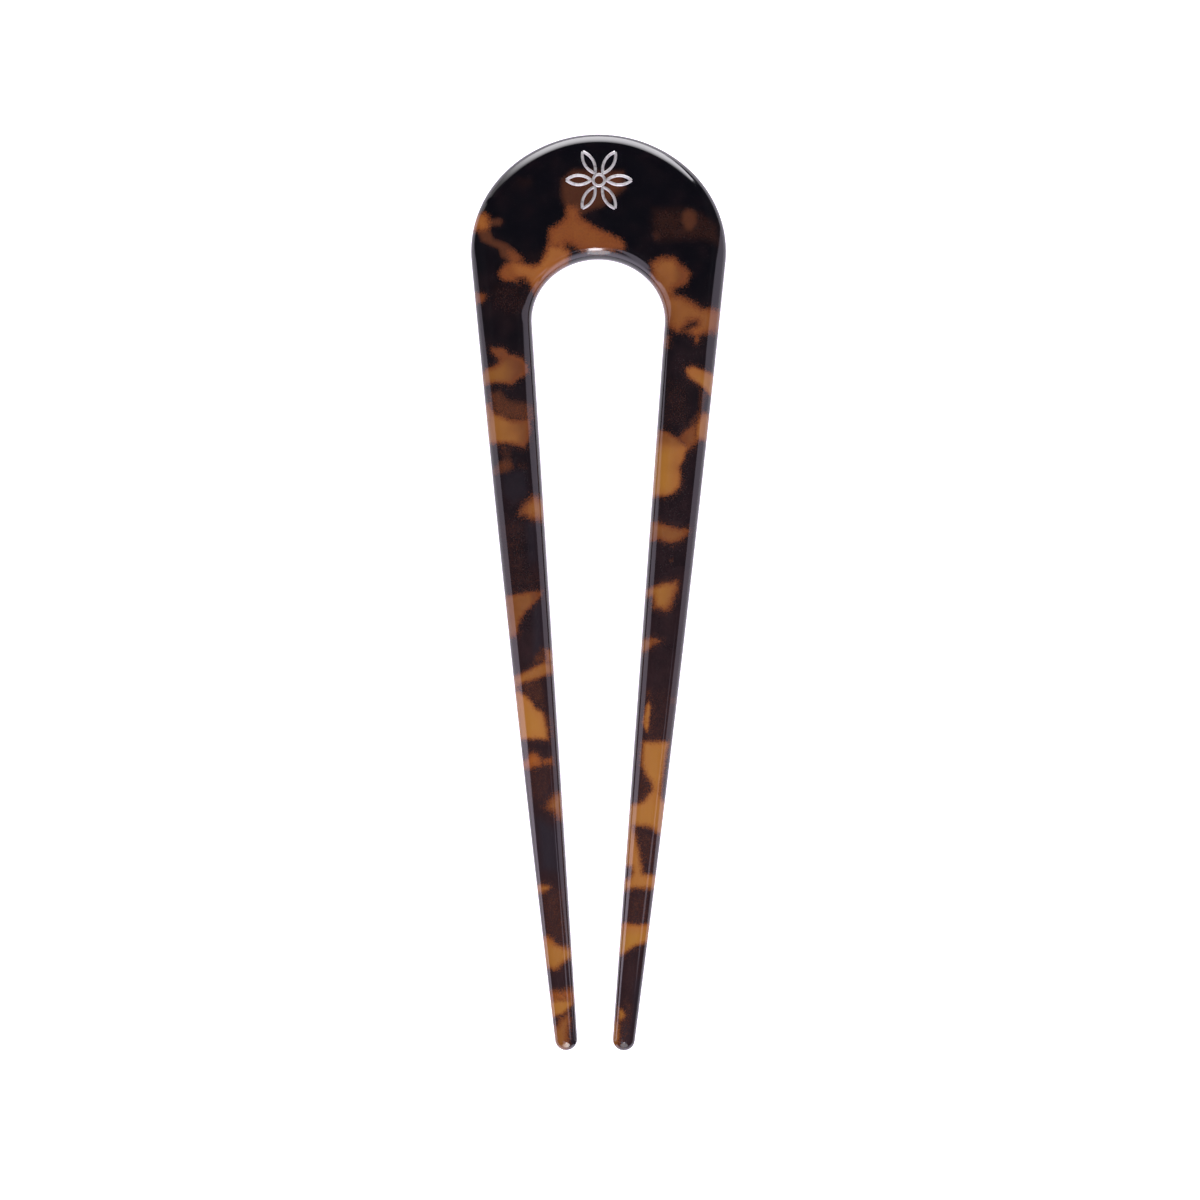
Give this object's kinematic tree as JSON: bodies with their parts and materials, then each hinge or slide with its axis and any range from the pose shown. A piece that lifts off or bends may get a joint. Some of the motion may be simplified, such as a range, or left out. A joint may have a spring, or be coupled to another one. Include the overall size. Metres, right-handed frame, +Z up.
{
  "type": "french hair pin",
  "caption": "U-shaped tortoiseshell hair pin with a broad round head, tapering legs with round tips and a small silver rosette.",
  "frame": {"origin": "under the middle of the pin's outline, on the surface that it lies on", "axes": "+X across the head, +Y from the tips towards the head, +Z up through the sheet"},
  "size_m": [0.0354, 0.127, 0.0044],
  "materials": {
    "acetate": "polished tortoiseshell acetate, near black with amber patches",
    "silver_foil": "softly bright silver"
  },
  "bodies": {
    "root": {"pin_body": "acetate", "foil_emblem": "silver_foil"}
  },
  "joints": []
}
